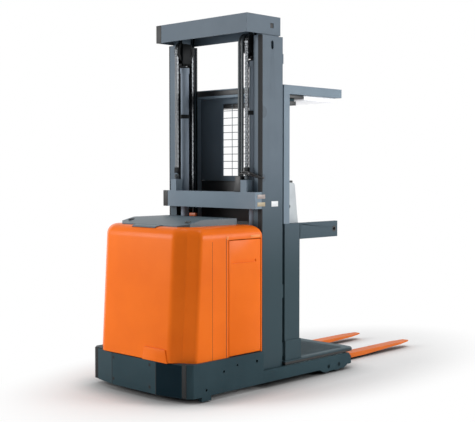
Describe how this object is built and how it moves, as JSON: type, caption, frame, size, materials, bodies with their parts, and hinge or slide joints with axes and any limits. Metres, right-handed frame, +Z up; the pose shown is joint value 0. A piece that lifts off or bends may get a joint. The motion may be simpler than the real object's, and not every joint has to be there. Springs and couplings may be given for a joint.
{
  "type": "order picker truck",
  "caption": "Stand-up order picker truck with a lifting operator platform, telescopic mast, overhead guard, side gates and low forks.",
  "frame": {"origin": "on the floor, in the middle of the overall width and of the overall length from the bumper face to the fork tips", "axes": "+X to the truck's left side, +Y from the power unit towards the fork tips, +Z up"},
  "size_m": [1.067, 2.967, 2.718],
  "materials": {
    "orange_paint": "gloss",
    "mast_paint": "satin",
    "base_paint": "satin",
    "fork_paint": "satin",
    "dark_metal": "satin",
    "rod_chrome": "polished",
    "bright_steel": "satin",
    "wheel_tyre": "matte",
    "hose_rubber": "matte",
    "black_plastic": "matte",
    "console_plastic": "matte",
    "battery_tray": "satin"
  },
  "bodies": {
    "chassis": {"chassis_frame": "base_paint", "front_bumper": "base_paint", "base_leg_left": "base_paint", "base_leg_right": "base_paint", "battery": "battery_tray", "pump_unit": "dark_metal", "power_hood": "orange_paint", "outer_rail_left": "mast_paint", "outer_rail_right": "mast_paint", "mast_middle_beam": "mast_paint", "mast_lower_beam": "mast_paint", "lift_cylinders": "dark_metal", "front_chains": "bright_steel", "front_hoses": "hose_rubber"},
    "inner_mast": {"inner_rail_left": "mast_paint", "inner_rail_right": "mast_paint", "head_beam": "mast_paint", "inner_tie": "mast_paint", "piston_rods": "rod_chrome", "rear_chains": "bright_steel", "rear_hoses": "hose_rubber"},
    "carriage": {"carriage_frame": "mast_paint", "platform": "mast_paint", "fork_left": "fork_paint", "fork_right": "fork_paint", "side_column_left": "mast_paint", "side_column_right": "mast_paint", "overhead_guard": "mast_paint", "mast_screen": "mast_paint", "control_console": "console_plastic"},
    "gate_left": {"side_gate_left": "mast_paint"},
    "gate_right": {"side_gate_right": "mast_paint"},
    "lid": {"top_lid": "base_paint"},
    "door_left": {"battery_door_left": "orange_paint"},
    "door_right": {"battery_door_right": "orange_paint"},
    "drive": {"drive_unit": "dark_metal"},
    "drive_tyre": {"drive_wheel": "wheel_tyre"},
    "caster_left": {"caster_fork_left": "bright_steel"},
    "caster_right": {"caster_fork_right": "bright_steel"},
    "caster_tyre_left": {"caster_wheel_left": "wheel_tyre"},
    "caster_tyre_right": {"caster_wheel_right": "wheel_tyre"},
    "load_front_left": {"load_wheel_front_left": "wheel_tyre"},
    "load_front_right": {"load_wheel_front_right": "wheel_tyre"},
    "load_rear_left": {"load_wheel_rear_left": "wheel_tyre"},
    "load_rear_right": {"load_wheel_rear_right": "wheel_tyre"},
    "sheave_left": {"chain_sheave_left": "dark_metal"},
    "sheave_right": {"chain_sheave_right": "dark_metal"}
  },
  "joints": [
    {"name": "mast_lift", "type": "slide", "parent": "chassis", "child": "inner_mast", "axis": [0, 0, 1], "range_m": [0, 1.83], "deforming": ["front_chains", "front_hoses"]},
    {"name": "platform_lift", "type": "slide", "parent": "inner_mast", "child": "carriage", "axis": [0, 0, 1], "range_m": [0, 1.83], "deforming": ["rear_chains", "rear_hoses"]},
    {"name": "gate_left_hinge", "type": "hinge", "parent": "carriage", "child": "gate_left", "pos_m": [0.486, -0.2445, 1.184], "axis": [1, 0, 0], "range_deg": [0, 90]},
    {"name": "gate_right_hinge", "type": "hinge", "parent": "carriage", "child": "gate_right", "pos_m": [-0.486, -0.2445, 1.184], "axis": [1, 0, 0], "range_deg": [0, 90]},
    {"name": "lid_hinge", "type": "hinge", "parent": "chassis", "child": "lid", "pos_m": [0, -0.7965, 1.207], "axis": [-1, 0, 0], "range_deg": [0, 75]},
    {"name": "door_left_hinge", "type": "hinge", "parent": "chassis", "child": "door_left", "pos_m": [0.506, -1.0295, 0.69], "axis": [0, 0, -1], "range_deg": [0, 100]},
    {"name": "door_right_hinge", "type": "hinge", "parent": "chassis", "child": "door_right", "pos_m": [-0.506, -1.0295, 0.69], "axis": [0, 0, 1], "range_deg": [0, 100]},
    {"name": "drive_steer", "type": "hinge", "parent": "chassis", "child": "drive", "pos_m": [0, -1.2025, 0.2], "axis": [0, 0, 1], "range_deg": [-90, 90]},
    {"name": "drive_wheel_spin", "type": "hinge", "parent": "drive", "child": "drive_tyre", "pos_m": [0, -1.2025, 0.127], "axis": [1, 0, 0], "continuous": true},
    {"name": "caster_left_swivel", "type": "hinge", "parent": "chassis", "child": "caster_left", "pos_m": [0.395, -1.3025, 0.15], "axis": [0, 0, 1], "continuous": true},
    {"name": "caster_left_spin", "type": "hinge", "parent": "caster_left", "child": "caster_tyre_left", "pos_m": [0.395, -1.2675, 0.063], "axis": [1, 0, 0], "continuous": true},
    {"name": "caster_right_swivel", "type": "hinge", "parent": "chassis", "child": "caster_right", "pos_m": [-0.395, -1.3025, 0.15], "axis": [0, 0, 1], "continuous": true},
    {"name": "caster_right_spin", "type": "hinge", "parent": "caster_right", "child": "caster_tyre_right", "pos_m": [-0.395, -1.2675, 0.063], "axis": [1, 0, 0], "continuous": true},
    {"name": "load_front_left_spin", "type": "hinge", "parent": "chassis", "child": "load_front_left", "pos_m": [0.4735, 0.0555, 0.055], "axis": [1, 0, 0], "continuous": true},
    {"name": "load_front_right_spin", "type": "hinge", "parent": "chassis", "child": "load_front_right", "pos_m": [-0.4735, 0.0555, 0.055], "axis": [1, 0, 0], "continuous": true},
    {"name": "load_rear_left_spin", "type": "hinge", "parent": "chassis", "child": "load_rear_left", "pos_m": [0.4735, 0.1835, 0.055], "axis": [1, 0, 0], "continuous": true},
    {"name": "load_rear_right_spin", "type": "hinge", "parent": "chassis", "child": "load_rear_right", "pos_m": [-0.4735, 0.1835, 0.055], "axis": [1, 0, 0], "continuous": true},
    {"name": "sheave_left_spin", "type": "hinge", "parent": "inner_mast", "child": "sheave_left", "pos_m": [0.38, -0.6375, 2.521], "axis": [1, 0, 0], "continuous": true},
    {"name": "sheave_right_spin", "type": "hinge", "parent": "inner_mast", "child": "sheave_right", "pos_m": [-0.38, -0.6375, 2.521], "axis": [1, 0, 0], "continuous": true}
  ],
  "couplings": [
    {"joint": "platform_lift", "follows": "mast_lift", "ratio": 1}
  ]
}
